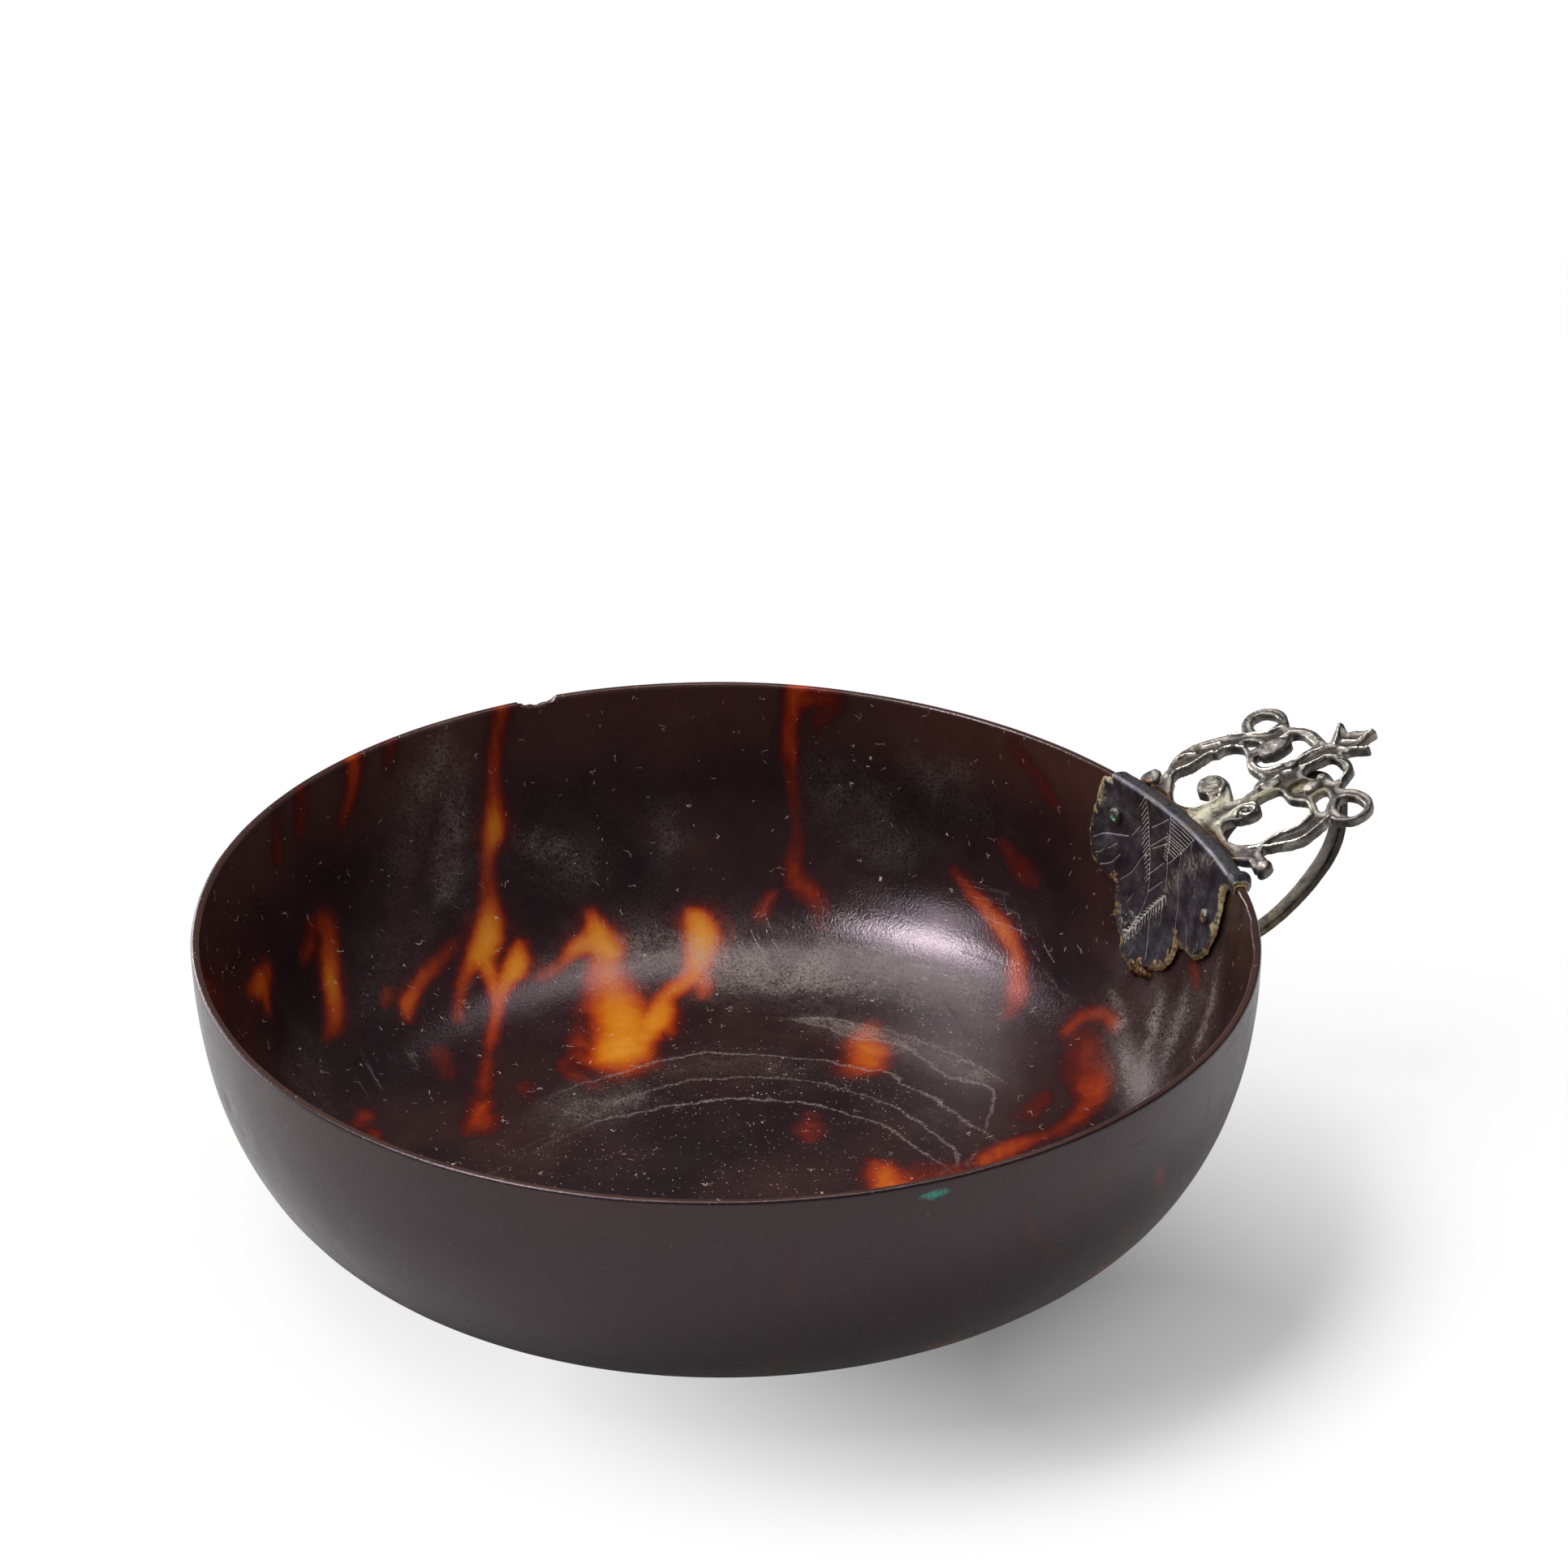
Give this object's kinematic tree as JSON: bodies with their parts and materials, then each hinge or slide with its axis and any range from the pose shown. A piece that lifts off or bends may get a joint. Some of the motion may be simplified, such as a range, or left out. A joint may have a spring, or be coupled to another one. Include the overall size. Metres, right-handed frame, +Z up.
{
  "type": "wine taster",
  "caption": "Shallow round tortoiseshell wine taster with a silver mount folded over its rim, a strap finger ring and a flat openwork thumbpiece.",
  "frame": {"origin": "centre of the flat foot, on the plane it stands on", "axes": "+X runs out along the handle, +Z up out of the bowl, +Y to the left of the handle seen from the bowl"},
  "size_m": [0.1277, 0.1092, 0.0361],
  "materials": {
    "tortoiseshell": "polished",
    "tarnished_silver": "tarnished",
    "cast_silver": "worn",
    "strap_silver": "tarnished",
    "rivet_metal": "corroded",
    "cement": "matt",
    "resin": "gloss"
  },
  "bodies": {
    "root": {"bowl": "tortoiseshell", "rim_clasp": "tarnished_silver", "bedding_cement": "cement", "rivet_left": "rivet_metal", "rivet_right": "rivet_metal", "thumbpiece": "cast_silver", "finger_ring": "strap_silver", "resin_bead": "resin"}
  },
  "joints": []
}
